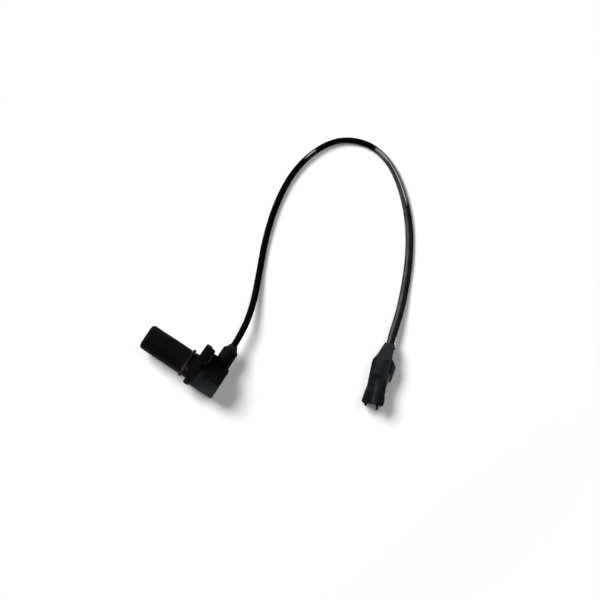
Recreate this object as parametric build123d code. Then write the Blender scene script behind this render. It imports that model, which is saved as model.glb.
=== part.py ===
from build123d import *
import math
import os

# An inductive rpm sensor with its flying lead and three-way plug. All sizes are in millimetres.
# X runs along the sensor's nose from its tip to its back, Y runs towards the lead outlet, Z is up.
# The origin is where the nose axis meets the flange's seating face. The sensor lies on its side.

# Nose
nose_radius = 9.0
nose_length = 37.5
nose_tip_round = 2.6
nose_tip_wall = 1.2
nose_bore_radius = 6.3

# O-ring and its groove, counted from the flange
o_ring_section = 2.6
groove_depth = 1.2
groove_width = 3.0
groove_setback = 3.0

# Flange with one screw ear, which stands up at an angle to the outlet
flange_radius = 12.6
flange_thickness = 4.4
flange_edge_round = 1.2
ear_radius = 7.0
ear_distance = 19.0
ear_angle = 52.0
ear_boss_height = 3.0
ear_boss_top_radius = 5.5
ear_boss_round = 0.4
bush_wall = 1.3
bush_bore_radius = 3.3
bush_chamfer = 0.3

# Head: a drum behind the flange, closed by a welded cap
drum_radius = 11.4
drum_length = 20.9
drum_wall = 3.0
chamber_start = 3.5
cap_thickness = 1.3
cap_edge_round = 1.0
cap_spigot_length = 1.5

# Lead outlet at the side of the head
outlet_radius = 5.45
outlet_reach = 24.4
outlet_chamfer = 1.6
web_thickness = 3.0
web_bottom = 2.2
web_reach = 15.3
web_drop = 0.3
web_edge_round = 0.5
grommet_wall = 0.8
grommet_reach = 27.1
grommet_inner_end = 15.0
grommet_tip_wall = 0.35

# Coil, pole pin and magnet inside the nose
pin_radius = 2.1
pin_head_radius = 3.6
pin_head_thickness = 1.8
pin_length = 19.2
core_wall = 0.9
bobbin_flange_thickness = 1.2
bobbin_shelf = 1.4
winding_thickness = 2.5
magnet_radius = 3.6
magnet_length = 9.2
block_length = 5.0
cup_setback = 1.2
block_radius = 4.9

# Terminal tags and the two wires in the head
tag_pitch = 5.2
tag_width = 2.0
tag_thickness = 0.6
tag_reach = 6.0
tag_seat = 3.0
barrel_length = 4.5
barrel_wall = 0.5
wire_radius = 0.65
wire_pitch = 1.5
head_wire_bend = 3.0

# Lead
lead_radius = 2.2
lead_start_y = 17.0
lead_tail = 8.0
lead_arc_share = 0.45

# Plug: length along its axis, width across it, height upwards. The rear body counts its lengths
# from its rear face, and its setbacks back from the joint with the front shell.
plug_origin = (98.97, 84.77)
plug_turn = -68.33
plug_left = 6.4
plug_right = 6.3
plug_half_height = 6.35
plug_wall = 1.5
rear_length = 23.4
shoulder_setback = 10.0
waist_setback = 15.0
waist_spread = 3.2
right_shoulder = 1.6
top_shoulder_setback = 11.5
rear_half_height = 3.4
rear_floor = 4.6
rear_bevel = 1.7
rear_crown = 0.5
ridge_width = 1.0
rear_edge_round = 1.0
rear_corner_round = 0.8
waist_round = 5.0
shoulder_round = 3.5
side_round = 6.0
collar_wall = 0.9
lead_offset = 2.7
lead_entry = 5.0
slot_start = 11.0
slot_length = 3.0
slot_width = 0.8
slot_offset = 4.1
slot_depth = 0.7
nub_start = 2.9
nub_radius = 0.8
nub_half_height = 1.3

# Clip arm on the plug's right side, free at its tip, which lies in front of the joint
clip_root_setback = 13.6
clip_knee_setback = 8.5
clip_overhang = 2.2
clip_reach = 9.9
clip_tip_reach = 8.6
clip_tip_thickness = 1.3
clip_half_height = 3.2
clip_root_round = 2.0
clip_knee_round = 1.5
clip_inner_round = 0.3
clip_tip_round = 0.6
slit_setback = 3.0
slit_slant = 0.4

# Front shell with its flared mouth. Its lengths count forward from the joint.
shell_step = 0.65
shell_length = 19.1
shell_wall = 1.15
flare_start = 7.6
flare_knee = 11.2
flare_full = 14.2
cavity_knee = 9.6
rim_round = 1.2
flare_left = 8.0
flare_right = 7.0
bulkhead_length = 5.6
spigot_length = 3.0
shell_edge_round = 1.2
rail_left = 0.6
rail_right = 4.4
rail_start = 1.2
rail_rise = 0.55
rail_bevel = 0.5
peg_radius = 1.1
peg_left = 4.75
peg_left_overhang = 1.9
peg_right = 2.6
peg_right_overhang = 3.3
peg_start = 11.2
peg_sink = 0.55
rim_notch_radius = 3.4
rim_notch_depth = 1.1

# Contacts and their wires in the plug
contact_pitch = 3.3
contact_count = 3
contact_width = 1.5
contact_thickness = 0.6
contact_setback = 4.0
contact_point = 1.4
contact_barrel_length = 4.9
plug_wire_pitch = 1.4
plug_wire_straight = 2.0
plug_wire_bend = 2.5

# Clearance of pieces that slip into one another, and how far a trimming solid runs on
slip_gap = 0.05
trim_margin = 5.0

# Places worked out from the sizes above
floor_z = -drum_radius
outlet_x = drum_length - outlet_radius
lead_floor_z = floor_z + lead_radius
plug_z = floor_z + plug_half_height
nose_tip_x = -nose_length
nose_bore_end = nose_tip_x + nose_tip_wall
groove_rear = -groove_setback
groove_front = groove_rear - groove_width
groove_radius = nose_radius - groove_depth
chamber_radius = drum_radius - drum_wall
ear_y = ear_distance * math.cos(math.radians(ear_angle))
ear_z = ear_distance * math.sin(math.radians(ear_angle))
bush_radius = bush_bore_radius + bush_wall
bush_length = flange_thickness + ear_boss_height
grommet_radius = lead_radius + grommet_wall
core_radius = pin_radius + core_wall
bobbin_radius = nose_bore_radius - slip_gap
winding_start = nose_bore_end + bobbin_flange_thickness
pin_head_start = nose_tip_x + pin_length - pin_head_thickness
winding_end = pin_head_start - bobbin_shelf
magnet_start = nose_tip_x + pin_length
magnet_end = magnet_start + magnet_length
block_end = magnet_end + block_length
cup_end = block_end - cup_setback
tag_start = block_end - tag_seat
barrel_radius = wire_radius + barrel_wall
barrel_start = tag_reach
wire_start = barrel_start + slip_gap
shell_half_height = plug_half_height - shell_step
hollow_left = plug_left - plug_wall
hollow_right = plug_right - plug_wall
hollow_half_height = plug_half_height - plug_wall
wire_reach = rear_length - spigot_length - contact_barrel_length + barrel_length - slip_gap

# The lead's route, chosen by hand: out of the head, down to the floor, round, and up into the plug
lead_points = [
    (outlet_x, lead_start_y, 0.0),
    (outlet_x, 37.0, 0.0),
    (10.9, 57.0, -5.2),
    (2.0, 77.8, lead_floor_z),
    (-7.1, 99.0, lead_floor_z),
    (-13.6, 121.2, lead_floor_z),
    (-16.2, 144.0, lead_floor_z),
    (-12.3, 165.6, lead_floor_z),
    (-1.4, 182.7, lead_floor_z),
    (17.4, 190.4, lead_floor_z),
    (36.6, 187.3, lead_floor_z),
    (54.1, 175.1, lead_floor_z),
    (69.2, 158.9, lead_floor_z),
    (81.4, 140.0, lead_floor_z),
    (90.2, 121.2, lead_floor_z),
    (95.8, 106.5, -7.4),
]


def outline(*corners):
    """A flat face from its corners, each given as across, up and its rounding."""
    points = [(across, up) for across, up, _ in corners]
    rounding = [radius for *_, radius in corners]
    return make_face(FilletPolyline(*points, radius=rounding, close=True))


def turned(*corners):
    """A solid turned about the nose axis, from corners along X and out from the axis."""
    return revolve(outline(*corners), axis=Axis.X)


def rod_x(start, end, radius, y=0.0, z=0.0):
    """A round rod along X."""
    rod = Cylinder(radius, end - start, align=(Align.CENTER, Align.CENTER, Align.MIN))
    return Pos(start, y, z) * Rot(0, 90, 0) * rod


def block(low, high):
    """A rectangular block between two corners."""
    size = [top - bottom for bottom, top in zip(low, high)]
    return Pos(*low) * Box(*size, align=(Align.MIN, Align.MIN, Align.MIN))


def wire_along(points, radius, bends):
    """A round wire of one radius along straight runs joined by arcs."""
    path = FilletPolyline(*points, radius=bends)
    return sweep(Plane(path ^ 0) * Circle(radius), path=path)


def edge_ring(solid, axis, last):
    """The outline edges of the solid's first or last face along an axis."""
    faces = solid.faces().sort_by(axis)
    return (faces[-1] if last else faces[0]).outer_wire().edges()


def nose_and_drum():
    """The turned outside of the housing: nose with its O-ring groove, and the drum."""
    return turned(
        (nose_tip_x, 0, 0),
        (nose_tip_x, nose_radius, nose_tip_round),
        (groove_front, nose_radius, 0),
        (groove_front, groove_radius, 0),
        (groove_rear, groove_radius, 0),
        (groove_rear, nose_radius, 0),
        (0, nose_radius, 0),
        (0, drum_radius, 0),
        (drum_length, drum_radius, 0),
        (drum_length, 0, 0),
    )


def flange():
    """The pear-shaped flange plate, with a flat that lies on the table beside the drum."""
    ring = Circle(flange_radius)
    ear = Pos(ear_y, ear_z) * Circle(ear_radius)
    pear = make_hull(ring.edges() + ear.edges())
    below = Pos(0, floor_z - flange_radius) * Rectangle(4 * flange_radius, 2 * flange_radius)
    plate = extrude(Plane.YZ * (pear - below), flange_thickness)
    plate = fillet(edge_ring(plate, Axis.X, last=False), flange_edge_round)
    return fillet(edge_ring(plate, Axis.X, last=True), flange_edge_round)


def ear_boss():
    """The tapered boss behind the ear, which backs the bush."""
    base = Plane((flange_thickness, ear_y, ear_z), x_dir=(0, 1, 0), z_dir=(1, 0, 0))
    base_radius = ear_radius - flange_edge_round / 2
    upright = (Align.CENTER, Align.CENTER, Align.MIN)
    cone = Cone(base_radius, ear_boss_top_radius, ear_boss_height, align=upright)
    cone = fillet(edge_ring(cone, Axis.Z, last=True), ear_boss_round)
    return base.location * cone


def outlet():
    """The stub at the head's side that holds the grommet, chamfered at its mouth."""
    side = outlet_x + outlet_radius
    face = outline(
        (outlet_x, 0, 0),
        (side, 0, 0),
        (side, outlet_reach - outlet_chamfer, 0),
        (side - outlet_chamfer, outlet_reach, 0),
        (outlet_x, outlet_reach, 0),
    )
    return revolve(face, axis=Axis((outlet_x, 0, 0), (0, 1, 0)))


def outlet_web():
    """The strengthening web between the flange and the outlet."""
    face = outline(
        (flange_thickness / 2, nose_radius, 0),
        (outlet_x, nose_radius, 0),
        (outlet_x, web_reach - web_drop, 0),
        (flange_thickness / 2, web_reach, 0),
    )
    web = extrude(face, web_thickness)
    web = fillet(web.edges().filter_by(Axis.Z, reverse=True).sort_by(Axis.Y)[-2:], web_edge_round)
    return Pos(0, 0, web_bottom) * web


def sensor_housing():
    """Nose, flange, ear, drum and outlet moulded in one piece round the coil's bore."""
    solid = nose_and_drum() + flange() + ear_boss() + outlet() + outlet_web()
    bores = turned(
        (nose_bore_end, 0, 0),
        (nose_bore_end, nose_bore_radius, 0),
        (chamber_start, nose_bore_radius, 0),
        (chamber_start, chamber_radius, 0),
        (drum_length, chamber_radius, 0),
        (drum_length, 0, 0),
    )
    grommet_bore = Pos(outlet_x, 0, 0) * Rot(-90, 0, 0) * Cylinder(
        grommet_radius, outlet_reach, align=(Align.CENTER, Align.CENTER, Align.MIN)
    )
    tip_hole = rod_x(nose_tip_x, nose_bore_end, pin_radius)
    bush_hole = rod_x(0, bush_length, bush_radius, ear_y, ear_z)
    return solid - bores - grommet_bore - tip_hole - bush_hole


def rear_cap():
    """The lid welded into the drum's open end."""
    spigot_radius = chamber_radius - slip_gap
    spigot_start = drum_length - cap_spigot_length
    cap_end = drum_length + cap_thickness
    return turned(
        (spigot_start, 0, 0),
        (spigot_start, spigot_radius, 0),
        (drum_length, spigot_radius, 0),
        (drum_length, drum_radius, 0),
        (cap_end, drum_radius, cap_edge_round),
        (cap_end, 0, 0),
    )


def o_ring():
    """The round seal, seated on the bottom of its groove."""
    middle = (groove_front + groove_rear) / 2
    centre_radius = groove_radius + o_ring_section / 2
    return revolve(Pos(middle, centre_radius) * Circle(o_ring_section / 2), axis=Axis.X)


def mounting_bush():
    """The metal bush that takes the screw's load through the ear."""
    bush = rod_x(0, bush_length, bush_radius, ear_y, ear_z)
    bush -= rod_x(0, bush_length, bush_bore_radius, ear_y, ear_z)
    mouths = bush.edges().filter_by(GeomType.CIRCLE).filter_by(lambda edge: edge.radius < bush_radius)
    return chamfer(mouths, bush_chamfer)


def lead_grommet():
    """The rubber sleeve between the outlet and the lead, tapered where it stands out."""
    shoulder = outlet_x + outlet_radius - outlet_chamfer
    face = outline(
        (outlet_x + lead_radius, grommet_inner_end, 0),
        (outlet_x + grommet_radius, grommet_inner_end, 0),
        (outlet_x + grommet_radius, outlet_reach, 0),
        (shoulder, outlet_reach, 0),
        (outlet_x + lead_radius + grommet_tip_wall, grommet_reach, 0),
        (outlet_x + lead_radius, grommet_reach, 0),
    )
    return revolve(face, axis=Axis((outlet_x, 0, 0), (0, 1, 0)))


def pole_pin():
    """The soft iron pin, flush with the nose's face and headed where it meets the magnet."""
    return turned(
        (nose_tip_x, 0, 0),
        (nose_tip_x, pin_radius, 0),
        (pin_head_start, pin_radius, 0),
        (pin_head_start, pin_head_radius, 0),
        (magnet_start, pin_head_radius, 0),
        (magnet_start, 0, 0),
    )


def bar_magnet():
    return rod_x(magnet_start, magnet_end, magnet_radius)


def coil_bobbin():
    """The coil's former: two flanges on a core, and a cup behind for magnet and terminals."""
    body = turned(
        (nose_bore_end, 0, 0),
        (nose_bore_end, bobbin_radius, 0),
        (winding_start, bobbin_radius, 0),
        (winding_start, core_radius, 0),
        (winding_end, core_radius, 0),
        (winding_end, bobbin_radius, 0),
        (cup_end, bobbin_radius, 0),
        (cup_end, 0, 0),
    )
    bore = turned(
        (nose_bore_end, 0, 0),
        (nose_bore_end, pin_radius, 0),
        (pin_head_start, pin_radius, 0),
        (pin_head_start, magnet_radius + slip_gap, 0),
        (magnet_end, magnet_radius + slip_gap, 0),
        (magnet_end, block_radius + slip_gap, 0),
        (cup_end, block_radius + slip_gap, 0),
        (cup_end, 0, 0),
    )
    return body - bore


def coil_winding():
    """The copper winding between the bobbin's flanges, as one ring."""
    ring = rod_x(winding_start, winding_end, core_radius + winding_thickness)
    return ring - rod_x(winding_start, winding_end, core_radius)


def tag_strip(side):
    """The flat part of one terminal tag, on the given side of the axis."""
    middle = side * tag_pitch / 2
    return block(
        (tag_start, middle - tag_thickness / 2, -tag_width / 2),
        (tag_reach, middle + tag_thickness / 2, tag_width / 2),
    )


def terminal_block():
    """The plug behind the magnet that holds the two terminal tags."""
    return rod_x(magnet_end, block_end, block_radius) - tag_strip(1) - tag_strip(-1)


def terminal_tag(side):
    """One tag with the crimp barrel that grips its wire."""
    middle = side * tag_pitch / 2
    barrel_end = barrel_start + barrel_length
    barrel = rod_x(barrel_start, barrel_end, barrel_radius, middle)
    barrel -= rod_x(wire_start, barrel_end, wire_radius, middle)
    return tag_strip(side) + barrel


def head_wire(side):
    """One insulated core from its tag to the lead's end, turned up into the outlet."""
    start_y = side * tag_pitch / 2
    rise_x = outlet_x - side * wire_pitch / 2
    points = [(wire_start, start_y, 0), (rise_x, start_y, 0), (rise_x, lead_start_y, 0)]
    return wire_along(points, wire_radius, [head_wire_bend])


def on_plug(length, width, height=0.0):
    """A point of the plug, given along, across and above its axis, in the sensor's frame."""
    turn = math.radians(plug_turn)
    x = plug_origin[0] + length * math.cos(turn) - width * math.sin(turn)
    y = plug_origin[1] + length * math.sin(turn) + width * math.cos(turn)
    return (x, y, plug_z + height)


def lead_route():
    """The route with its last two points on the plug's entry line, and one arc for each corner."""
    points = [Vector(*point) for point in lead_points]
    points += [Vector(*on_plug(-lead_tail, lead_offset)), Vector(*on_plug(lead_entry, lead_offset))]
    radii = []
    for before, corner, after in zip(points, points[1:], points[2:]):
        run_in = corner - before
        run_out = after - corner
        turn = math.radians(run_in.get_angle(run_out))
        radii.append(lead_arc_share * min(run_in.length, run_out.length) / math.tan(turn / 2))
    return points, radii


def lead_cable():
    """The round lead, from inside the grommet to inside the plug."""
    points, radii = lead_route()
    path = FilletPolyline(*points, radius=radii)
    lead = sweep(Plane(path ^ 0) * Circle(lead_radius), path=path)
    volume_share = lead.volume / (math.pi * lead_radius**2 * path.length)
    print("lead radii", [round(radius, 1) for radius in radii])
    print("lead length", round(path.length, 2), "volume share", round(volume_share, 5))
    return lead


def plug_prism(face, half_height):
    """A plan outline of the plug made as high as given, evenly about the plug's axis."""
    return extrude(face, half_height, both=True)


def run_on(end, neighbour):
    """The corner that carries the run from a neighbour past its end, by the trimming margin."""
    step = end[0] - neighbour[0]
    share = trim_margin / abs(step)
    return (end[0] + share * step, end[1] + share * (end[1] - neighbour[1]), 0)


def plug_side_prism(*corners):
    """A solid from the plug's side view, given along and above its axis, longer than what it trims."""
    upper = [run_on(corners[0], corners[1]), *corners[1:-1], run_on(corners[-1], corners[-2])]
    lower = [(along, -height, radius) for along, height, radius in reversed(upper)]
    face = Plane.XZ * outline(*upper, *lower)
    return extrude(face, 2 * clip_reach, both=True)


def rear_outline(margin):
    """The rear body's plan inside its skin by a margin: a waist at the lead, then a shoulder."""
    lead_left = lead_offset - lead_radius - collar_wall
    lead_right = lead_offset + lead_radius + collar_wall
    waist = rear_length - waist_setback + margin / 2
    shoulder = rear_length - shoulder_setback + margin / 2
    right = plug_right + slip_gap - margin
    return outline(
        (margin, lead_left + margin, rear_corner_round),
        (waist, lead_left - waist_spread + margin, waist_round),
        (shoulder, margin - plug_left, shoulder_round),
        (rear_length, margin - plug_left, 0),
        (rear_length, right, 0),
        (margin + right_shoulder, right, rear_corner_round),
        (margin, lead_right - margin, rear_corner_round),
    )


def rear_section_prism():
    """The rear body's cross-section as a long prism: crowned top, bevelled left, rounded right."""
    section = outline(
        (plug_right, plug_half_height - rear_crown, rear_edge_round),
        (ridge_width, plug_half_height, 0),
        (rear_bevel - plug_left, plug_half_height - rear_crown, 0),
        (-plug_left, plug_half_height - rear_bevel, 0),
        (-plug_left, rear_bevel - plug_half_height, 0),
        (rear_bevel - plug_left, -plug_half_height, 0),
        (plug_right, -plug_half_height, rear_edge_round),
    )
    return extrude(Plane.YZ.offset(-trim_margin) * section, rear_length + 2 * trim_margin)


def clip_arm():
    """The clip arm along the plug's side, free at its front end with a slit behind it."""
    root = rear_length - clip_root_setback
    knee = rear_length - clip_knee_setback
    tip = rear_length + clip_overhang
    slit = rear_length - slit_setback
    foot = plug_right - plug_wall / 2
    face = outline(
        (root - clip_root_round, foot, 0),
        (root - clip_root_round, plug_right, 0),
        (root, plug_right, clip_root_round),
        (knee, clip_reach, clip_knee_round),
        (tip, clip_tip_reach, clip_tip_round),
        (tip, clip_tip_reach - clip_tip_thickness, clip_tip_round),
        (slit + slit_slant, clip_tip_reach - clip_tip_thickness, clip_inner_round),
        (slit, foot, 0),
    )
    return plug_prism(face, clip_half_height)


def wire_slot():
    """The shallow slot moulded into the rear body's top."""
    low = (slot_start, slot_offset - slot_width / 2, plug_half_height - rear_crown - slot_depth)
    high = (slot_start + slot_length, slot_offset + slot_width / 2, plug_half_height)
    return block(low, high)


def side_nub():
    """The small upright nub on the rear body's right shoulder."""
    return Pos(nub_start, plug_right, 0) * Cylinder(nub_radius, 2 * nub_half_height)


def plug_rear_body():
    """The rear half of the plug: tapered from the lead, hollow for the wires, with its clip arm."""
    solid = plug_prism(rear_outline(0.0), plug_half_height)
    solid &= plug_side_prism(
        (0, rear_half_height, rear_corner_round),
        (rear_length - top_shoulder_setback, plug_half_height, side_round),
        (rear_length, plug_half_height, 0),
    )
    solid &= rear_section_prism()
    hollow = plug_prism(rear_outline(plug_wall), hollow_half_height - rear_crown)
    hollow &= plug_side_prism(
        (rear_floor, rear_half_height - collar_wall, 0),
        (rear_length - shoulder_setback, hollow_half_height, shoulder_round),
        (rear_length, hollow_half_height, 0),
    )
    entry = rod_x(0, lead_entry, lead_radius, lead_offset)
    return solid + clip_arm() + side_nub() - hollow - entry - wire_slot()


def plug_section(along, left, right, half_height, radius):
    """A rounded cross-section of the plug at one place along it."""
    section = RectangleRounded(left + right, 2 * half_height, radius)
    return Plane.YZ.offset(along) * (Pos((right - left) / 2, 0) * section)


def shell_sections():
    """The front shell's outside: straight, then flared on the left and later on the right."""
    half_flare = (plug_left + flare_left) / 2
    rim_start = shell_length - rim_round
    rim_inset = rim_round / 2
    rim_height = plug_half_height - rim_inset / 2
    stations = [
        (0, plug_left, plug_right, shell_half_height),
        (flare_start, plug_left, plug_right, shell_half_height),
        (flare_knee, half_flare, plug_right, plug_half_height),
        (flare_full, flare_left - rim_inset, flare_right, plug_half_height),
        (rim_start, flare_left, flare_right, plug_half_height),
        (shell_length, flare_left - rim_inset, flare_right - rim_inset, rim_height),
    ]
    return [plug_section(*station, shell_edge_round) for station in stations]


def cavity_sections():
    """The open socket one wall inside the shell: straight, then flared to the rim."""
    stations = [
        (bulkhead_length, plug_left, plug_right, shell_half_height),
        (cavity_knee, plug_left, plug_right, shell_half_height),
        (shell_length, flare_left, flare_right, plug_half_height),
    ]
    return [
        plug_section(along, left - shell_wall, right - shell_wall, height - shell_wall, shell_edge_round / 2)
        for along, left, right, height in stations
    ]


def guide_peg(width, overhang):
    """A round-ended peg that runs along the shell's top and past its rim."""
    height = plug_half_height - peg_sink
    end = shell_length + overhang - peg_radius
    return rod_x(peg_start, end, peg_radius, width, height) + Pos(end, width, height) * Sphere(peg_radius)


def top_rail():
    """The raised rail along the shell's top, bevelled on both sides."""
    top = plug_half_height + rail_rise
    base = shell_half_height - shell_wall / 2
    bevel = rail_bevel + rail_rise
    section = outline(
        (rail_left, base, 0),
        (rail_left, top - rail_rise, 0),
        (rail_left + bevel, top, 0),
        (rail_right - bevel, top, 0),
        (rail_right, top - rail_rise, 0),
        (rail_right, base, 0),
    )
    return extrude(Plane.YZ.offset(rail_start) * section, shell_length - rail_start)


def contact_place(number, pitch=contact_pitch):
    """How far a contact or its wire lies from the middle one."""
    return (number - (contact_count - 1) / 2) * pitch


def contact_blade(number):
    """The flat blade of one contact, pointed at its free end."""
    middle = contact_place(number)
    start = -spigot_length - slip_gap
    end = shell_length - contact_setback
    face = outline(
        (start, middle - contact_width / 2, 0),
        (end - contact_point, middle - contact_width / 2, 0),
        (end, middle - contact_width / 4, 0),
        (end, middle + contact_width / 4, 0),
        (end - contact_point, middle + contact_width / 2, 0),
        (start, middle + contact_width / 2, 0),
    )
    return plug_prism(face, contact_thickness / 2)


def plug_front_shell():
    """The front half of the plug: a bulkhead for the contacts and a flared, pegged mouth."""
    solid = loft(shell_sections(), ruled=True)
    solid += top_rail()
    solid += guide_peg(-peg_left, peg_left_overhang)
    solid += guide_peg(peg_right, peg_right_overhang)
    spigot_half_height = hollow_half_height - rear_crown - slip_gap
    solid += block(
        (-spigot_length, slip_gap - hollow_left, -spigot_half_height),
        (0, hollow_right - slip_gap, spigot_half_height),
    )
    notch_x = shell_length + rim_notch_radius - rim_notch_depth
    notch_y = (peg_right - peg_left) / 2
    notch = Cylinder(rim_notch_radius, plug_half_height, align=(Align.CENTER, Align.CENTER, Align.MIN))
    solid -= Pos(notch_x, notch_y, contact_thickness) * notch
    solid -= loft(cavity_sections(), ruled=True)
    for number in range(contact_count):
        solid -= contact_blade(number)
    return solid


def contact_pin(number):
    """One contact: its blade, and the crimp barrel that grips its wire."""
    middle = contact_place(number)
    start = -spigot_length - contact_barrel_length
    barrel = rod_x(start, -spigot_length, barrel_radius, middle)
    barrel -= rod_x(start, start + barrel_length - slip_gap, wire_radius, middle)
    return contact_blade(number) + barrel


def plug_wire(number):
    """One core from the lead's end to its contact."""
    start_y = lead_offset + contact_place(number, plug_wire_pitch)
    end_y = contact_place(number)
    bend_end = wire_reach - barrel_length - plug_wire_straight
    points = [
        (lead_entry, start_y, 0),
        (lead_entry + plug_wire_straight, start_y, 0),
        (bend_end, end_y, 0),
        (wire_reach, end_y, 0),
    ]
    return wire_along(points, wire_radius, [plug_wire_bend, plug_wire_bend])


def in_plug_place(solid, along=0.0):
    """A plug piece turned and moved to where the plug lies, its own start so far along the plug."""
    return Pos(plug_origin[0], plug_origin[1], plug_z) * Rot(0, 0, plug_turn) * Pos(along, 0, 0) * solid


def all_nodes():
    """Every piece of the assembly by its name."""
    nodes = {
        "sensor_housing": sensor_housing(),
        "rear_cap": rear_cap(),
        "o_ring": o_ring(),
        "mounting_bush": mounting_bush(),
        "lead_grommet": lead_grommet(),
        "pole_pin": pole_pin(),
        "bar_magnet": bar_magnet(),
        "coil_bobbin": coil_bobbin(),
        "coil_winding": coil_winding(),
        "terminal_block": terminal_block(),
        "lead_cable": lead_cable(),
        "plug_rear_body": in_plug_place(plug_rear_body()),
        "plug_front_shell": in_plug_place(plug_front_shell(), rear_length),
    }
    for number, side in enumerate((1, -1), start=1):
        nodes[f"terminal_tag_{number}"] = terminal_tag(side)
        nodes[f"head_wire_{number}"] = head_wire(side)
    for number in range(contact_count):
        nodes[f"contact_pin_{number + 1}"] = in_plug_place(contact_pin(number), rear_length)
        nodes[f"plug_wire_{number + 1}"] = in_plug_place(plug_wire(number))
    return nodes


os.makedirs("parts", exist_ok=True)
for name, solid in all_nodes().items():
    export_step(solid, f"parts/{name}.step")
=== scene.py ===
import math

import bpy
import numpy as np
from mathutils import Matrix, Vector


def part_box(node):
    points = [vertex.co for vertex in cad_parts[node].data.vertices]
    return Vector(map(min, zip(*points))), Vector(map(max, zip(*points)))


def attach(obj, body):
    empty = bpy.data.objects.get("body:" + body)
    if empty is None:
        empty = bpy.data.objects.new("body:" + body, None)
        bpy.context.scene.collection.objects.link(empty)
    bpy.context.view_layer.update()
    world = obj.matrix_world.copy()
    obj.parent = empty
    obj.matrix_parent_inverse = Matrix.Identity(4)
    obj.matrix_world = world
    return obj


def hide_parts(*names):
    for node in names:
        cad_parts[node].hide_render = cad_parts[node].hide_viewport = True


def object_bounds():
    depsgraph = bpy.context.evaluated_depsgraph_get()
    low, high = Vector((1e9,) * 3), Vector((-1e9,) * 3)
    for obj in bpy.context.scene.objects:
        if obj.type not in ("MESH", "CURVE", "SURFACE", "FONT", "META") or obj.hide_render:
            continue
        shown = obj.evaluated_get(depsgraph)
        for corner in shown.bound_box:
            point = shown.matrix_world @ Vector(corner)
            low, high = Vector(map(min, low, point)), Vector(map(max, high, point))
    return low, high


# The rpm sensor's finish and stage. The frame is the CAD model: X runs along the sensor's nose to
# its back, Y towards the lead outlet, Z up, in metres. The sensor and its plug lie on the floor.

bl_info = {
    "name": "Rpm sensor with flying lead",
    "version": (1, 0, 0),
    "blender": (4, 5, 0),
    "location": "3D View > Sidebar > Rpm Sensor",
    "description": "Gives the rpm sensor's CAD model its lead, its finishes and a studio stage",
    "category": "Object",
}

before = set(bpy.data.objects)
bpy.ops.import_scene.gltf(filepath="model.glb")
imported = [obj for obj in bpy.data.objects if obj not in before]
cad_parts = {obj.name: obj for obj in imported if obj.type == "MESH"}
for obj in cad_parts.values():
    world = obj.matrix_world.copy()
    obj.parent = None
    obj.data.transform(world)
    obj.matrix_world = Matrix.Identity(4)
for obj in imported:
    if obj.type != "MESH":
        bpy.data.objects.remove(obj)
cad_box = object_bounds()

MM = 0.001
UP = np.array([0.0, 0.0, 1.0])

# The lead's route, the control points of its centreline, in metres: the CAD model's, but for two
# points on the last bend and the one before the plug, moved under a millimetre to follow the photo
LEAD_ROUTE = MM * np.array(
    [
        (15.45, 17.0, 0.0),
        (15.45, 37.0, 0.0),
        (10.9, 57.0, -5.2),
        (2.0, 77.8, -9.2),
        (-7.1, 99.0, -9.2),
        (-13.6, 121.2, -9.2),
        (-16.2, 144.0, -9.2),
        (-12.3, 165.6, -9.2),
        (-1.4, 182.7, -9.2),
        (17.4, 190.4, -9.2),
        (36.3, 186.6, -9.2),
        (53.8, 174.8, -9.2),
        (69.2, 158.9, -9.2),
        (81.4, 140.0, -9.2),
        (90.2, 121.2, -9.2),
        (95.8, 106.5, -7.4),
        (99.3, 93.7, -5.05),
        (103.325, 81.12, -5.05),
    ]
)

# The jacket's mesh: how far apart its rows are, and how many columns go round it
LEAD_SPACING = 0.5 * MM
LEAD_COLUMNS = 40

# By what share the jacket is wider and lower than round, at shares of the lead's length, because it
# twists a little, and how many rows to each side this is smoothed over
OVAL_STATIONS = (0.0, 0.12, 0.35, 0.50, 0.62, 0.78, 0.97, 0.988, 1.0)
OVAL_SHARES = (0.0, 0.0, -0.02, -0.15, -0.02, 0.22, 0.28, 0.1, 0.0)
OVAL_SMOOTHING = 12

# The ripple in the jacket's width, the product of two sines: its height as a share of the radius,
# each sine's waves along the lead, and the phase of the second
RIPPLE_HEIGHT = 0.006
RIPPLE_WAVES = (23.0, 7.3)
RIPPLE_PHASE = 1.1

# The O-ring's mesh: how many rows go round the ring, and how many columns round its section
RING_ROWS = 192
RING_COLUMNS = 32

# The O-ring's wear: the share by which its section thins in places, the waves round the ring of the
# sine and the cosine that say where, and the sine's phase
RING_THINNING = 0.01
RING_WAVES = (5, 3)
RING_PHASE = 0.7

# The fin where the ring's mould parted: its height as a share of the section's radius, and its half
# width in radians of the section
FIN_HEIGHT = 0.02
FIN_WIDTH = 0.09

CONTACTS = ["contact_pin_1", "contact_pin_2", "contact_pin_3"]

# Where the plug's lead end is, in metres, and how far the plug is turned about the vertical
PLUG_PLACE = (0.09897, 0.08477, 0.0)
PLUG_TURN = math.radians(-68.33)

# The plug's dust film, laid in patches that also paint its light and shade: painted shade on the left
# bevel, lighter tones on the right and beside the clip, and a painted highlight along the rail. Each
# patch: from and to along it, from and to across it, in mm, and its share
PLUG_DUST_AND_PAINTED_LIGHT = (
    (-3.0, 11.5, -9.0, 12.0, 0.18),
    (11.5, 22.0, -4.2, 12.0, 0.14),
    (22.0, 25.2, 1.5, 12.0, 0.16),
    (25.2, 33.5, -9.0, 12.0, 0.07),
    (11.5, 25.2, 4.6, 12.0, 0.20),
    (25.8, 36.0, -1.4, 0.2, 0.34),
    (36.0, 42.0, -1.4, 0.2, 0.62),
)

# How far the film's edges fade on either side of their line, in mm
FILM_EDGE = 0.6

# The stretches of the lead that hands have rubbed bright: from and to along it and how long each
# end fades, in mm, and how bright it is
RUBBED_STRETCHES = ((147.0, 157.0, 3.0, 0.33), (197.0, 243.0, 6.0, 1.0))

# The lines that drawing left on the jacket: how many go round it, a third of a millimetre apart,
# and how long each is
LINES_ROUND = 42
LINE_LENGTH = 20 * MM

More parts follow.
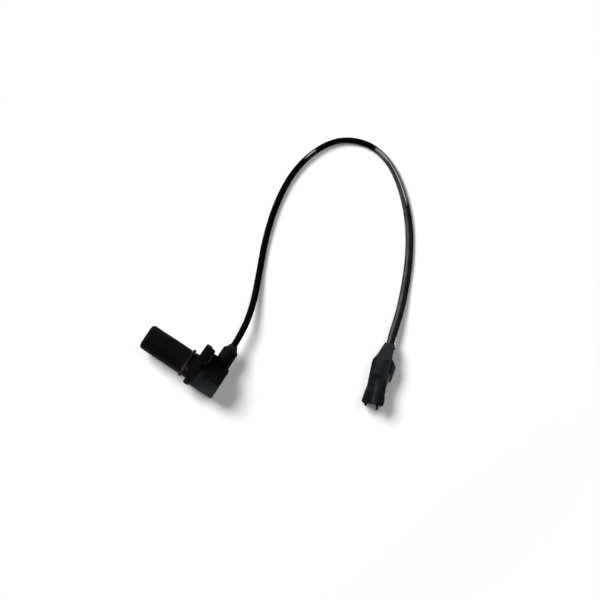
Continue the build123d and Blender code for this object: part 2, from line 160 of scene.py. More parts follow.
# Patterns of the mouldings: the size of their features in mm, their detail and their roughness
CLOUDS = (9.0, 4.0, 0.6)
GRAIN = (0.35, 3.0, 0.6)

# How far apart the winding's turns are drawn, so that they show. The real ones are 0.08 mm apart.
TURN_PITCH = 0.3 * MM

# The metal parts: each metal's colour, roughness, how worn it is, and the nodes made of it
METALS = {
    # Zinc, barrel-plated on turned steel: a pale grey with a broad soft shine
    "steel_zinc_plated": ("#8E9194", 0.45, 0.7, ["mounting_bush"]),
    # Soft iron, as turned: a warm grey with a sharper shine
    "soft_iron_turned": ("#8C8A86", 0.35, 0.8, ["pole_pin"]),
    # Magnet alloy, ground: a dark even grey
    "magnet_alloy_ground": ("#6E6C69", 0.42, 0.5, ["bar_magnet"]),
    # Tin, plated on brass: whitish and bright
    "brass_tin_plated": ("#C9C6BC", 0.25, 0.5, ["terminal_tag_1", "terminal_tag_2", *CONTACTS]),
}

# The plain plastic parts: each plastic's colour, its dust's colour, how dusty it is, and its nodes
PLASTICS = {
    # Natural polyamide, moulded: cream with a soft sheen
    "polyamide_natural_moulded": ("#CFC8B4", "#B8B09A", 0.3, ["coil_bobbin", "terminal_block"]),
    # PVC, extruded over the cores in their three colours: smooth with a soft sheen
    "pvc_core_white": ("#C8C6C0", "#A8A59C", 0.2, ["head_wire_1", "plug_wire_1"]),
    "pvc_core_brown": ("#5A3A22", "#4A3524", 0.2, ["head_wire_2", "plug_wire_2"]),
    "pvc_core_black": ("#141414", "#2A2A2A", 0.2, ["plug_wire_3"]),
}

# The middle of the picture, how far the picture is turned, and its width there
VIEW_CENTRE = (0.0353, 0.0767, 0.0)
VIEW_TURN = math.radians(33.5)
VIEW_WIDTH = 0.4014

# How far the lamps are from the middle of the picture, and for each its azimuth and elevation in
# degrees, its sides in metres, and its power as a share of the key's
LAMP_DISTANCE = 2.2
LAMPS = (
    ("key", 168.0, 45.0, (1.0, 1.0), 1.0),
    ("window", 68.0, 60.0, (0.9, 0.35), 0.16),
    ("fill", -75.0, 32.0, (0.6, 0.4), 0.054),
)

# The floor: how far it lies under the part, so that no faces coincide, its grey for the light that
# it sends back, and its glow, which begins and is full at these distances from the picture's middle
# and has these strengths there
FLOOR_GAP = 0.01 * MM
FLOOR_GREY = 0.7
FLOOR_GLOW = (0.15, 0.24, 0.06, 1.0)

# The sky: for the rays that look at it, the heights between which it dims and its strengths there,
# and its strength for the light that it gives
SKY_SHADE = (0.12, 0.45, 1.0, 0.12)
SKY_LIGHT = 0.06


# Settings


def colour_property(name, what, value):
    """A property that holds a colour as an sRGB hex value."""
    return bpy.props.StringProperty(name=name, description=f"{what}, as an sRGB hex value", default=value)


class LeadSettings(bpy.types.PropertyGroup):
    """Size and colours of the flying lead."""

    diameter: bpy.props.FloatProperty(
        name="Diameter",
        description="Outside diameter of the lead's jacket",
        default=0.0044,
        min=0.002,
        max=0.01,
        precision=4,
        unit="LENGTH",
    )
    jacket: colour_property("Jacket", "Colour of the clean jacket", "#030304")
    # This dust colour also paints the sheen along one side of the lead towards the plug
    dust: colour_property("Dust", "Colour of the film of dust on the jacket", "#585C60")
    # A painted highlight: the pale patch across the top of the bend
    painted_highlight: colour_property("Scuff", "Colour of the chalky scuff on top of the bend", "#66696C")


class SensorSettings(bpy.types.PropertyGroup):
    """Colours of the sensor's head, and the size of its O-ring."""

    moulding: colour_property("Moulding", "Colour of the black housing", "#070708")
    # This colour also paints the light on the drum's -Y side and on the ledge behind the flange
    dust: colour_property("Dust", "Colour of the dust on the housing", "#373E40")
    grime: colour_property("Grime", "Colour of the dried grease at the seal", "#2A1F1C")
    bloom: colour_property("Bloom", "Colour of the dry grit on and behind the O-ring", "#4A4139")
    ring_section: bpy.props.FloatProperty(
        name="Ring Section",
        description="Thickness of the O-ring",
        default=0.0026,
        min=0.001,
        max=0.005,
        precision=4,
        unit="LENGTH",
    )


class PlugSettings(bpy.types.PropertyGroup):
    """Colours of the plug."""

    moulding: colour_property("Moulding", "Colour of the plug's two mouldings", "#0B0E10")
    # This colour also paints the plug's facet light and shade, and a painted highlight along the rail
    dust: colour_property("Dust", "Colour of the dust on the plug", "#40484F")


class StageSettings(bpy.types.PropertyGroup):
    """The floor, the camera and the lamps."""

    floor_size: bpy.props.FloatProperty(
        name="Floor Size",
        description="Side of the square floor",
        default=40.0,
        min=2.0,
        max=100.0,
        unit="LENGTH",
    )
    camera_height: bpy.props.FloatProperty(
        name="Camera Height",
        description="Height of the camera over the nose axis",
        default=2.4,
        min=0.3,
        max=5.0,
        unit="LENGTH",
    )
    key_power: bpy.props.FloatProperty(
        name="Key Power",
        description="Power of the lamp that casts the shadow",
        default=61.0,
        min=0.0,
        max=200.0,
        unit="POWER",
    )


# Meshes


def closed_grid(name, grid, closed_along=False):
    """A mesh over a grid of points, rows along the piece and columns round it, the last joined to the
    first. An open piece gets a fan about the middle of each end row. The UV map "route" holds the share
    round the piece and the distance along it in metres."""
    rows, columns = grid.shape[:2]
    points = grid.reshape(-1, 3)
    steps = rows if closed_along else rows - 1
    row, column = np.meshgrid(np.arange(steps), np.arange(columns), indexing="ij")
    corner_rows = np.stack([row, row, row + 1, row + 1], axis=-1)
    corner_columns = np.stack([column, column + 1, column + 1, column], axis=-1)
    quads = (corner_rows % rows) * columns + corner_columns % columns
    middle = grid.mean(axis=1)
    runs = np.linalg.norm(np.diff(middle, axis=0, append=middle[:1]), axis=1)
    along = np.concatenate([[0.0], np.cumsum(runs)])
    uv = np.stack([corner_columns / columns, along[corner_rows]], axis=-1).reshape(-1, 2)
    faces = quads.reshape(-1, 4).tolist()
    if not closed_along:
        points = np.vstack([points, middle[0], middle[-1]])
        ring = np.arange(columns)
        first = np.stack([np.roll(ring, -1), ring, np.full(columns, rows * columns)], axis=1)
        last = np.stack([ring, np.roll(ring, -1), np.full(columns, columns + 1)], axis=1)
        last += (rows - 1) * columns
        faces += first.tolist() + last.tolist()
        ends = np.zeros((3 * columns, 2))
        uv = np.vstack([uv, ends, ends + [0.0, along[rows - 1]]])
    mesh = bpy.data.meshes.new(name)
    mesh.from_pydata(points.tolist(), [], faces)
    mesh.uv_layers.new(name="route").data.foreach_set("uv", uv.astype(np.float32).ravel())
    mesh.polygons.foreach_set("use_smooth", np.ones(len(mesh.polygons), bool))
    mesh.update()
    return mesh


def face_outward(mesh):
    """Turns a closed mesh right side out where its signed volume is below zero."""
    mesh.calc_loop_triangles()
    corners = np.zeros(3 * len(mesh.loop_triangles), np.int32)
    mesh.loop_triangles.foreach_get("vertices", corners)
    points = np.zeros(3 * len(mesh.vertices), np.float32)
    mesh.vertices.foreach_get("co", points)
    first, second, third = points.reshape(-1, 3)[corners.reshape(-1, 3)].transpose(1, 0, 2)
    if np.einsum("ij,ij->", first, np.cross(second, third)) < 0:
        mesh.flip_normals()
    return mesh


def add_piece(name, mesh, material):
    """Links a mesh as a piece of the sensor, with its material, under the sensor's root body."""
    mesh.materials.append(material)
    piece = bpy.data.objects.new(name, mesh)
    bpy.context.scene.collection.objects.link(piece)
    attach(piece, "root")
    return piece


def lead_centreline(spacing):
    """The points of the open NURBS curve over the lead's route, evenly spaced, and its length."""
    curve = bpy.data.curves.new("lead_route", "CURVE")
    curve.dimensions = "3D"
    spline = curve.splines.new("NURBS")
    spline.points.add(len(LEAD_ROUTE) - 1)
    weighted = np.hstack([LEAD_ROUTE, np.ones((len(LEAD_ROUTE), 1))])
    spline.points.foreach_set("co", weighted.astype(np.float32).ravel())
    spline.order_u = 3
    spline.use_endpoint_u = True
    spline.resolution_u = 32
    holder = bpy.data.objects.new("lead_route", curve)
    bpy.context.scene.collection.objects.link(holder)
    traced = bpy.data.meshes.new_from_object(holder)
    points = np.zeros(3 * len(traced.vertices), np.float32)
    traced.vertices.foreach_get("co", points)
    points = points.reshape(-1, 3).astype(float)
    bpy.data.objects.remove(holder)
    bpy.data.curves.remove(curve)
    bpy.data.meshes.remove(traced)
    reach = np.concatenate([[0.0], np.cumsum(np.linalg.norm(np.diff(points, axis=0), axis=1))])
    even = np.linspace(0.0, reach[-1], int(reach[-1] / spacing) + 1)
    line = np.stack([np.interp(even, reach, points[:, axis]) for axis in range(3)], axis=1)
    return line, reach[-1]


def lead_tube(line, radius, columns):
    """The jacket over its centreline. A point is the centre plus the half width times the cosine of the
    angle along the level side direction, plus the half height times its sine along the upper direction.
    The half width is the radius times one plus the oval share and the ripple, and the half height is the
    radius divided by one plus the oval share. The centre moves up or down by what the half height gains
    or loses, so that the jacket still touches the floor."""
    share = np.linspace(0.0, 1.0, len(line))
    oval = np.interp(share, OVAL_STATIONS, OVAL_SHARES)
    window = np.hanning(2 * OVAL_SMOOTHING + 1)
    oval = np.convolve(np.pad(oval, OVAL_SMOOTHING, mode="edge"), window / window.sum(), mode="valid")
    first, second = (2 * np.pi * share * waves for waves in RIPPLE_WAVES)
    ripple = RIPPLE_HEIGHT * np.sin(first) * np.sin(second + RIPPLE_PHASE)
    wide = radius * (1 + oval + ripple)[:, None, None]
    high = radius / (1 + oval)[:, None, None]
    heading = np.gradient(line, axis=0)
    heading /= np.linalg.norm(heading, axis=1, keepdims=True)
    side = np.cross(heading, UP)
    side /= np.linalg.norm(side, axis=1, keepdims=True)
    upper = np.cross(side, heading)
    turn = (2 * np.pi * np.arange(columns) / columns - np.pi / 2)[None, :, None]
    centre = line[:, None, :] + (high - radius) * upper[:, None, :]
    return centre + wide * np.cos(turn) * side[:, None, :] + high * np.sin(turn) * upper[:, None, :]


def ring_surface(centre_x, centre_radius, section_radius, rows, columns):
    """The O-ring about the nose axis: a torus, its distance from the axis the centre radius plus the
    section times the cosine of the section's angle. The section is the given one less the height of the
    fin, which adds a bell curve about the outside, and it thins in slow waves round the ring."""
    turn = (2 * np.pi * np.arange(rows) / rows)[:, None]
    around = (2 * np.pi * np.arange(columns) / columns)[None, :]
    first, second = (waves * turn for waves in RING_WAVES)
    thinning = RING_THINNING * (0.5 + 0.5 * np.sin(first + RING_PHASE) * np.cos(second))
    from_outside = np.angle(np.exp(1j * around))
    fin = FIN_HEIGHT * np.exp(-((from_outside / FIN_WIDTH) ** 2))
    section = section_radius * (1 - thinning - FIN_HEIGHT + fin)
    out = centre_radius + section * np.cos(around)
    along = centre_x + section * np.sin(around)
    return np.stack([along, out * np.cos(turn), out * np.sin(turn)], axis=-1)


# Materials


def linear(colour):
    """A hex sRGB colour as linear red, green, blue and a full alpha."""
    parts = [value / 255 for value in bytes.fromhex(colour.lstrip("#"))]
    return [part / 12.92 if part <= 0.04045 else ((part + 0.055) / 1.055) ** 2.4 for part in parts] + [1.0]


def dimmed(colour, share):
    """A linear colour at a share of its brightness."""
    return [share * part for part in colour[:3]] + [1.0]


def add_node(tree, kind, inputs=(), **settings):
    """Adds a shader node, sets its properties, fills its inputs with values or links them to outputs,
    in order or by key, and gives its own outputs."""
    node = tree.nodes.new("ShaderNode" + kind)
    for key, value in settings.items():
        setattr(node, key, value)
    for key, value in inputs.items() if isinstance(inputs, dict) else enumerate(inputs):
        if isinstance(value, bpy.types.NodeSocket):
            tree.links.new(value, node.inputs[key])
        else:
            node.inputs[key].default_value = value
    return node.outputs


def mask(tree, *parts):
    """The share of a surface where all its parts hold: their product. A part is a share, or a range,
    which is a value, where it begins, where it is full, and the shares there if they aren't 0 and 1."""
    shares = [
        add_node(tree, "MapRange", part)[0] if isinstance(part, tuple) else part for part in parts
    ]
    whole = shares[0]
    for share in shares[1:]:
        whole = add_node(tree, "Math", (whole, share), operation="MULTIPLY")[0]
    return whole


def start_material(name, *patterns):
    """An empty material, its node tree, the place on the object, and a noise for each pattern, which is
    the size of its features in millimetres, its detail and its roughness."""
    material = bpy.data.materials.new(name)
    material.use_nodes = True
    tree = material.node_tree
    tree.nodes.clear()
    where = add_node(tree, "TexCoord")["Object"]
    fields = []
    for size_mm, detail, roughness in patterns:
        look = {"Scale": 1 / (size_mm * MM), "Detail": detail, "Roughness": roughness}
        fields.append(add_node(tree, "TexNoise", {"Vector": where, **look})["Fac"])
    return material, tree, where, *fields


def in_millimetres(tree, where, origin=(0.0, 0.0, 0.0), turn=0.0):
    """A place's x, y and z in millimetres, from an origin and on axes turned about the vertical."""
    placed = add_node(
        tree,
        "Mapping",
        {"Vector": where, "Location": origin, "Rotation": (0.0, 0.0, turn), "Scale": (MM, MM, MM)},
        vector_type="TEXTURE",
    )
    return add_node(tree, "SeparateXYZ", (placed[0],))


def facing_up(tree, least, full):
    """How far a surface faces up, for the dust that settles there: 0 where its normal's height is at or
    under the least, and 1 where it is full."""
    normal = add_node(tree, "NewGeometry")["Normal"]
    return mask(tree, (add_node(tree, "SeparateXYZ", (normal,))["Z"], least, full))


def finish_with(tree, colour, layers, height, depth_mm, strength, **shader):
    """The surface shader: a colour under layers, each its share and its colour, and a bump whose hills
    are this high in millimetres."""
    for share, layer in layers:
        colour = add_node(tree, "Mix", {0: share, 6: colour, 7: layer}, data_type="RGBA")[2]
    bump = add_node(tree, "Bump", {"Height": height, "Distance": depth_mm * MM, "Strength": strength})
    inputs = {key.replace("_", " "): value for key, value in shader.items()}
    surface = add_node(tree, "BsdfPrincipled", {**inputs, "Base Color": colour, "Normal": bump[0]})
    add_node(tree, "OutputMaterial", {"Surface": surface[0]})


def moulded_plastic(name, colour, dust, dusty):
    """Plain moulded or extruded plastic: an even colour with a soft sheen, and a little dust on top."""
    material, tree, _, clouds, grain = start_material(name, CLOUDS, GRAIN)
    share = mask(tree, (clouds, 0.35, 0.7, 0.1, 1.0), facing_up(tree, 0.72, 0.98), dusty)
    finish_with(
        tree,
        linear(colour),
        [(share, linear(dust))],
        grain,
        depth_mm=0.02,
        strength=0.5,
        Roughness=mask(tree, (clouds, 0.3, 0.7, 0.3, 0.45)),
        IOR=1.53,
    )
    return material


def facet_painted_polyamide(name, colour, dust):
    """The plug's polyamide: near black with a blue tinge, under patches of dust-coloured film that paint
    its facets' light and shade: painted shade on the left bevel, lighter tones on the right and beside the
    clip, and a painted highlight along the rail."""
    material, tree, where, clouds, grain = start_material(name, (5.0, 4.0, 0.6), GRAIN)
    along, across, _ = in_millimetres(tree, where, PLUG_PLACE, PLUG_TURN)
    # Patches of film in the dust's colour that paint the facets' light and shade: painted shade on the
    # left bevel, lighter tones on the right and beside the clip, a painted highlight along the rail
    dust_and_painted_light = 0.0
    for start, end, left, right, share in PLUG_DUST_AND_PAINTED_LIGHT:
        patch = mask(
            tree,
            (along, start - FILM_EDGE, start + FILM_EDGE, 0.0, share),
            (along, end + FILM_EDGE, end - FILM_EDGE),
            (across, left - FILM_EDGE, left + FILM_EDGE),
            (across, right + FILM_EDGE, right - FILM_EDGE),
        )
        dust_and_painted_light = add_node(tree, "Math", (patch, dust_and_painted_light))[0]
    facet_light_and_dust = mask(tree, dust_and_painted_light, facing_up(tree, 0.2, 0.95), (clouds, 0.35, 0.65, 0.7, 1.3))
    finish_with(
        tree,
        linear(colour),
        [(facet_light_and_dust, linear(dust))],
        grain,
        depth_mm=0.02,
        strength=0.5,
        Roughness=mask(tree, (clouds, 0.3, 0.7, 0.42, 0.56)),
        Specular_IOR_Level=0.07,
        IOR=1.53,
    )
    return material


def soiled_polyamide_with_painted_light(name, colour, dust, grime, grit):
    """The housing's glass-filled polyamide, from a spark-eroded mould: near black with a broad dull
    sheen. A dust-coloured film paints the light that falls on the drum's -Y side, most towards its back,
    and on the ledge behind the flange, and leaves the +Y side under the ear dark as painted shade. It has
    dried grease, brown and dull, in a ragged band at the seal's groove, and a crust of grit behind the
    seal. Its ranges are in millimetres."""
    material, tree, where, clouds, grain, patches = start_material(name, CLOUDS, GRAIN, (3.2, 5.0, 0.65))
    x, y, _ = in_millimetres(tree, where)
    strayed = add_node(tree, "Math", (y, mask(tree, (clouds, 0.3, 0.7, -3.0, 3.0))))[0]
    # Painted light: the dust-coloured film lies on the drum's -Y side and on the ledge behind the flange,
    # where light falls, and the +Y side under the ear stays dark as painted shade
    low_side = mask(tree, (strayed, -1.0, -8.0))
    ledge = mask(tree, (x, 10.0, 7.0), (y, 6.0, 0.0))
    painted_lit_places = add_node(tree, "Math", (low_side, ledge), operation="MAXIMUM")[0]
    dust_and_painted_light = mask(
        tree,
        painted_lit_places,
        (clouds, 0.35, 0.75, 0.6, 1.0),
        (x, 3.0, 6.0),
        (x, 11.0, 20.0, 0.45, 1.0),
    )
    grease = mask(
        tree,
        (x, -12.0, -6.0),
        (x, 0.0, -1.5),
        (y, 6.0, -2.0),
        (patches, 0.45, 0.65, 0.0, 0.35),
    )
    crust = mask(
        tree,
        (x, -3.2, -2.8),
        (x, -1.0, -1.8),
        (y, -6.5, -5.0),
        (y, -1.5, -3.0),
        (patches, 0.42, 0.54, 0.15, 0.7),
    )
    finish_with(
        tree,
        linear(colour),
        [(dust_and_painted_light, linear(dust)), (grease, linear(grime)), (crust, linear(grit))],
        grain,
        depth_mm=0.02,
        strength=0.5,
        Roughness=mask(tree, (clouds, 0.3, 0.7, 0.52, 0.68)),
        Specular_IOR_Level=0.03,
        IOR=1.53,
    )
    return material


def drawn_jacket(name, colour, dust, painted_highlight):
    """Soft PVC drawn over the cores: black with faint lengthwise lines, lighter towards the plug with a
    painted sheen in the dust's colour along the upper side to the right of its run there, glossy on its
    crown in the two stretches that hands have rubbed, and a pale painted highlight on top of the bend.
    Its ranges are in millimetres along the lead and shares of the way round it, where 0.5 is on top."""
    material, tree, _, clouds = start_material(name, (6.0, 4.0, 0.6))
    route = add_node(tree, "UVMap", uv_map="route")[0]
    line_scale = (LINES_ROUND, 1 / LINE_LENGTH, 1.0)
    stretched = add_node(tree, "Mapping", {"Vector": route, "Scale": line_scale})
    lines = add_node(tree, "TexNoise", {"Vector": stretched[0], "Scale": 1.0, "Detail": 2.0})["Fac"]
    placed = add_node(tree, "Mapping", {"Vector": route, "Scale": (1.0, 1 / MM, 1.0)})
    around, along, _ = add_node(tree, "SeparateXYZ", (placed[0],))
    # Lighter towards the plug and laid as a streak on the upper side to the right of the lead's run:
    # painted sheen where light falls on that side, in the dust's colour, with a thin film over the top
    dust_and_painted_light = mask(
        tree,
        (clouds, 0.3, 0.7, 0.5, 1.0),
        (along, 200.0, 270.0),
        (around, 0.34, 0.39),
        (around, 0.50, 0.44, 0.12, 1.0),
    )
    ragged = add_node(tree, "Math", (along, mask(tree, (clouds, 0.35, 0.65, -1.5, 1.5))))[0]
    rubbed = 0.0
    for start, end, fade, share in RUBBED_STRETCHES:
        stretch = mask(tree, (ragged, start, start + fade), (ragged, end, end - fade, 0.0, share))
        rubbed = add_node(tree, "Math", (stretch, rubbed), operation="MAXIMUM")[0]
    polish = mask(tree, rubbed, (around, 0.34, 0.42), (around, 0.72, 0.62))
    # A painted highlight: a pale patch across the top of the bend, where light glints at the start of the
    # rubbed stretch
    highlight_patch = mask(
        tree,
        (ragged, 198.0, 200.5),
        (ragged, 211.0, 206.0),
        (around, 0.39, 0.45),
        (around, 0.62, 0.56),
        (clouds, 0.35, 0.65, 0.6, 1.0),
    )
    finish_with(
        tree,
        linear(colour),
        [(dust_and_painted_light, linear(dust)), (highlight_patch, linear(painted_highlight))],
        lines,
        depth_mm=0.03,
        strength=0.35,
        Roughness=mask(tree, (polish, 0.0, 1.0, 0.5, 0.1)),
        Specular_IOR_Level=0.01,
        IOR=1.54,
        Coat_Weight=polish,
        Coat_Roughness=0.09,
        Coat_IOR=2.1,
    )
    return material


def nitrile_rubber(name, colour, bloom, covered):
    """Moulded nitrile rubber: dull black, with tan patches on its -Y side, thickest behind its crest.
    Its ranges are in millimetres."""
    material, tree, where, patches, grain = start_material(name, (2.6, 5.0, 0.7), (0.25, 3.0, 0.6))
    x, y, _ = in_millimetres(tree, where)
    share = mask(tree, (patches, 0.46, 0.54), (y, 3.0, -7.0), (x, -5.4, -4.6, 0.3, 1.0), covered)
    finish_with(
        tree,
        linear(colour),
        [(share, linear(bloom))],
        grain,
        depth_mm=0.03,
        strength=0.6,
        Roughness=mask(tree, (patches, 0.3, 0.7, 0.6, 0.8)),
        Specular_IOR_Level=0.1,
        IOR=1.52,
    )
    return material


def plated_metal(name, colour, roughness, worn):
    """Turned, ground or plated metal: bright, with fine tumbling scratches and dull worn spots."""
    material, tree, _, clouds, scratches = start_material(name, (2.5, 4.0, 0.6), (0.12, 2.0, 0.5))
    finish_with(
        tree,
        linear(colour),
        [(mask(tree, (clouds, 0.45, 0.7), worn), dimmed(linear(colour), 0.55))],
        scratches,
        depth_mm=0.004,
        strength=0.4,
        Roughness=mask(tree, (clouds, 0.3, 0.7, roughness, roughness + 0.15)),
        Metallic=1.0,
    )
    return material


def wound_copper(name, colour):
    """Enamelled copper wire wound in level turns: each turn a fine bright ridge round the bobbin."""
    material, tree, where, clouds = start_material(name, (3.0, 3.0, 0.5))
    # At a scale of 1 a wave texture has 20 / (2 pi) bands a metre
    turns = add_node(
        tree,
        "TexWave",
        {"Vector": where, "Scale": 2 * math.pi / (20 * TURN_PITCH), "Distortion": 0.3, "Detail": 1.0},
        wave_type="BANDS",
        bands_direction="X",
    )["Fac"]
    finish_with(
        tree,
        linear(colour),
        [(mask(tree, (clouds, 0.3, 0.8)), dimmed(linear(colour), 0.4))],
        turns,
        depth_mm=0.06,
        strength=0.8,
        Roughness=mask(tree, (turns, 0.0, 1.0, 0.4, 0.25)),
        Metallic=1.0,
    )
    return material


def set_finish(material, *names):
    """Gives CAD nodes a material in place of their own."""
    for name in names:
        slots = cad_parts[name].data.materials
        slots.clear()
        slots.append(material)


# Operators


class AddLead(bpy.types.Operator):
    """Build the flying lead over its route, from the grommet to the plug"""

    bl_idname = "object.rpm_add_lead"
    bl_label = "Add Lead"

    def execute(self, context):
        settings = context.scene.rpm_lead
        line, length = lead_centreline(LEAD_SPACING)
        tube = lead_tube(line, settings.diameter / 2, LEAD_COLUMNS)
        mesh = face_outward(closed_grid("lead", tube))
        material = drawn_jacket("drawn_pvc_jacket", settings.jacket, settings.dust, settings.painted_highlight)
        lead = add_piece("lead", mesh, material)
        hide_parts("lead_cable")
        return {"FINISHED"}


class AddSeal(bpy.types.Operator):
    """Build the O-ring in its groove and finish the lead's grommet"""

    bl_idname = "object.rpm_add_seal"
    bl_label = "Add Seal"

    def execute(self, context):
        settings = context.scene.rpm_sensor
        low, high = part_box("o_ring")
        section = settings.ring_section / 2
        centre_x, centre_radius = (low.x + high.x) / 2, high.z - section
        grid = ring_surface(centre_x, centre_radius, section, RING_ROWS, RING_COLUMNS)
        mesh = face_outward(closed_grid("seal_ring", grid, closed_along=True))
        rubber = nitrile_rubber("nitrile_rubber_aged", "#070606", settings.bloom, covered=0.85)
        ring = add_piece("seal_ring", mesh, rubber)
        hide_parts("o_ring")
        grommet = nitrile_rubber("grommet_rubber_moulded", "#0B0B0C", "#1C1E20", covered=0.3)
        set_finish(grommet, "lead_grommet")
        return {"FINISHED"}


class FinishHead(bpy.types.Operator):
    """Finish the sensor's black mouldings"""

    bl_idname = "object.rpm_finish_head"
    bl_label = "Finish Head"

    def execute(self, context):
        settings = context.scene.rpm_sensor
        housing = soiled_polyamide_with_painted_light(
            "polyamide_glass_filled_soiled_painted_light",
            settings.moulding,
            settings.dust,
            settings.grime,
            grit=settings.bloom,
        )
        set_finish(housing, "sensor_housing", "rear_cap")
        return {"FINISHED"}


class FinishPlug(bpy.types.Operator):
    """Finish the plug's two mouldings"""

    bl_idname = "object.rpm_finish_plug"
    bl_label = "Finish Plug"

    def execute(self, context):
        settings = context.scene.rpm_plug
        body = facet_painted_polyamide("polyamide_plug", settings.moulding, settings.dust)
        set_finish(body, "plug_rear_body", "plug_front_shell")
        return {"FINISHED"}


class FinishMetal(bpy.types.Operator):
    """Finish the bush, the pole pin, the magnet, the winding, the tags and the contacts"""

    bl_idname = "object.rpm_finish_metal"
    bl_label = "Finish Metal"

    def execute(self, context):
        for name, (colour, roughness, worn, nodes) in METALS.items():
            set_finish(plated_metal(name, colour, roughness, worn), *nodes)
        set_finish(wound_copper("copper_wire_enamelled", "#B4652E"), "coil_winding")
        return {"FINISHED"}


class FinishInside(bpy.types.Operator):
    """Finish the bobbin, the terminal block and the insulated cores"""

    bl_idname = "object.rpm_finish_inside"
    bl_label = "Finish Inside"

    def execute(self, context):
        for name, (colour, dust, dusty, nodes) in PLASTICS.items():
            set_finish(moulded_plastic(name, colour, dust, dusty), *nodes)
        return {"FINISHED"}


# Stage


def looking_rays(tree):
    """1 for the rays that look at the background: the camera's, and those that gloss or glass sends."""
    rays = add_node(tree, "LightPath")
    looking = rays["Is Camera Ray"]
    for kind in ("Is Glossy Ray", "Is Transmission Ray"):
        looking = add_node(tree, "Math", (looking, rays[kind]), operation="MAXIMUM")[0]
    return looking


def floor_material():
    """Matt white paper. For the rays that look at it, it glows a little round the sensor and wholly
    further out, where no shadow falls, so it reads as an even white."""
    material, tree, where = start_material("paper_white_matt")
    paper = add_node(tree, "BsdfDiffuse", {"Color": (1.0, 1.0, 1.0, 1.0)})
    grey = add_node(tree, "BsdfDiffuse", {"Color": (FLOOR_GREY, FLOOR_GREY, FLOOR_GREY, 1.0)})
    glow = add_node(tree, "Emission", {"Color": (1.0, 1.0, 1.0, 1.0), "Strength": 1.0})
    distance = add_node(tree, "VectorMath", (where, VIEW_CENTRE), operation="DISTANCE")["Value"]
    lit = add_node(tree, "MixShader", (mask(tree, (distance, *FLOOR_GLOW)), paper[0], glow[0]))
    whole = add_node(tree, "MixShader", (looking_rays(tree), grey[0], lit[0]))
    add_node(tree, "OutputMaterial", {"Surface": whole[0]})
    return material


def studio_world():
    """A plain sky, white near the horizon for the rays that look at it, and dim overhead."""
    world = bpy.data.worlds.new("studio")
    world.use_nodes = True
    tree = world.node_tree
    tree.nodes.clear()
    direction = add_node(tree, "TexCoord")["Generated"]
    height = add_node(tree, "SeparateXYZ", (direction,))["Z"]
    shade = mask(tree, (height, *SKY_SHADE))
    strength = mask(tree, (looking_rays(tree), 0.0, 1.0, SKY_LIGHT, shade))
    light = add_node(tree, "Background", {"Color": (1.0, 1.0, 1.0, 1.0), "Strength": strength})
    add_node(tree, "OutputWorld", {"Surface": light[0]})
    return world


def add_lamp(name, azimuth, elevation, size, power):
    """Adds a rectangular lamp aimed at the middle of the picture, its azimuth from X towards Y."""
    light = bpy.data.lights.new(name, "AREA")
    light.shape = "RECTANGLE"
    light.size, light.size_y = size
    light.energy = power
    lamp = bpy.data.objects.new(name, light)
    bpy.context.scene.collection.objects.link(lamp)
    turn, rise = math.radians(azimuth), math.radians(elevation)
    level = math.cos(rise)
    out = Vector((math.cos(turn) * level, math.sin(turn) * level, math.sin(rise)))
    lamp.location = Vector(VIEW_CENTRE) + LAMP_DISTANCE * out
    lamp.rotation_mode = "QUATERNION"
    lamp.rotation_quaternion = out.to_track_quat("Z", "Y")


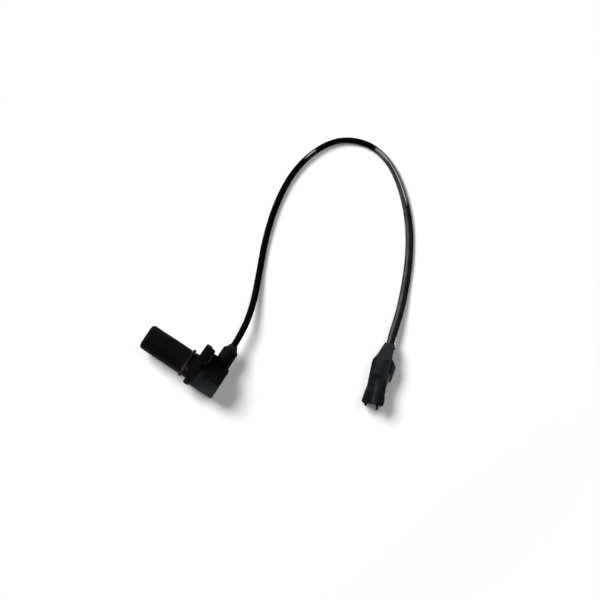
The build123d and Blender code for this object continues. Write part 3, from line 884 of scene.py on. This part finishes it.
class BuildStage(bpy.types.Operator):
    """Build the floor, the lamps, the world and the camera"""

    bl_idname = "object.rpm_build_stage"
    bl_label = "Build Stage"

    def execute(self, context):
        settings = context.scene.rpm_stage
        half = settings.floor_size / 2
        level = cad_box[0].z - FLOOR_GAP
        corners = ((-half, -half), (half, -half), (half, half), (-half, half))
        mesh = bpy.data.meshes.new("floor")
        mesh.from_pydata([(x, y, level) for x, y in corners], [], [(0, 1, 2, 3)])
        mesh.materials.append(floor_material())
        floor = bpy.data.objects.new("floor", mesh)
        context.scene.collection.objects.link(floor)
        context.scene.world = studio_world()
        for name, azimuth, elevation, size, share in LAMPS:
            add_lamp(name, azimuth, elevation, size, share * settings.key_power)
        camera = bpy.data.cameras.new("camera")
        camera.sensor_width = 36.0
        camera.lens = camera.sensor_width * settings.camera_height / VIEW_WIDTH
        camera.clip_start, camera.clip_end = 0.01, 100.0
        eye = bpy.data.objects.new("camera", camera)
        context.scene.collection.objects.link(eye)
        eye.location = Vector(VIEW_CENTRE) + Vector((0.0, 0.0, settings.camera_height))
        eye.rotation_euler = (0.0, 0.0, VIEW_TURN)
        context.scene.camera = eye
        context.scene.view_settings.view_transform = "Standard"
        return {"FINISHED"}


# Panel and registration


class SensorPanel(bpy.types.Panel):
    """Lists the steps and settings of the rpm sensor"""

    bl_idname = "VIEW3D_PT_rpm_sensor"
    bl_label = "Rpm Sensor"
    bl_space_type = "VIEW_3D"
    bl_region_type = "UI"
    bl_category = "Rpm Sensor"

    def draw(self, context):
        for group in GROUPS:
            settings = getattr(context.scene, group)
            box = self.layout.box()
            for name in settings.bl_rna.properties.keys():
                if name not in {"rna_type", "name"}:
                    box.prop(settings, name)
        for step in STEPS:
            self.layout.operator(step.bl_idname)


GROUPS = {
    "rpm_stage": StageSettings,
    "rpm_lead": LeadSettings,
    "rpm_sensor": SensorSettings,
    "rpm_plug": PlugSettings,
}
STEPS = (BuildStage, AddLead, AddSeal, FinishHead, FinishPlug, FinishMetal, FinishInside)


def register():
    """Registers the classes and gives the scene their settings."""
    for cls in (*GROUPS.values(), *STEPS, SensorPanel):
        bpy.utils.register_class(cls)
    for name, group in GROUPS.items():
        setattr(bpy.types.Scene, name, bpy.props.PointerProperty(type=group))


def unregister():
    """Takes the settings and the classes away again."""
    for name in GROUPS:
        delattr(bpy.types.Scene, name)
    for cls in (SensorPanel, *reversed(STEPS), *reversed(GROUPS.values())):
        bpy.utils.unregister_class(cls)


def main():
    """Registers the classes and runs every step."""
    register()
    bpy.ops.object.rpm_build_stage()
    bpy.ops.object.rpm_add_lead()
    bpy.ops.object.rpm_add_seal()
    bpy.ops.object.rpm_finish_head()
    bpy.ops.object.rpm_finish_plug()
    bpy.ops.object.rpm_finish_metal()
    bpy.ops.object.rpm_finish_inside()


if __name__ == "__main__":
    main()
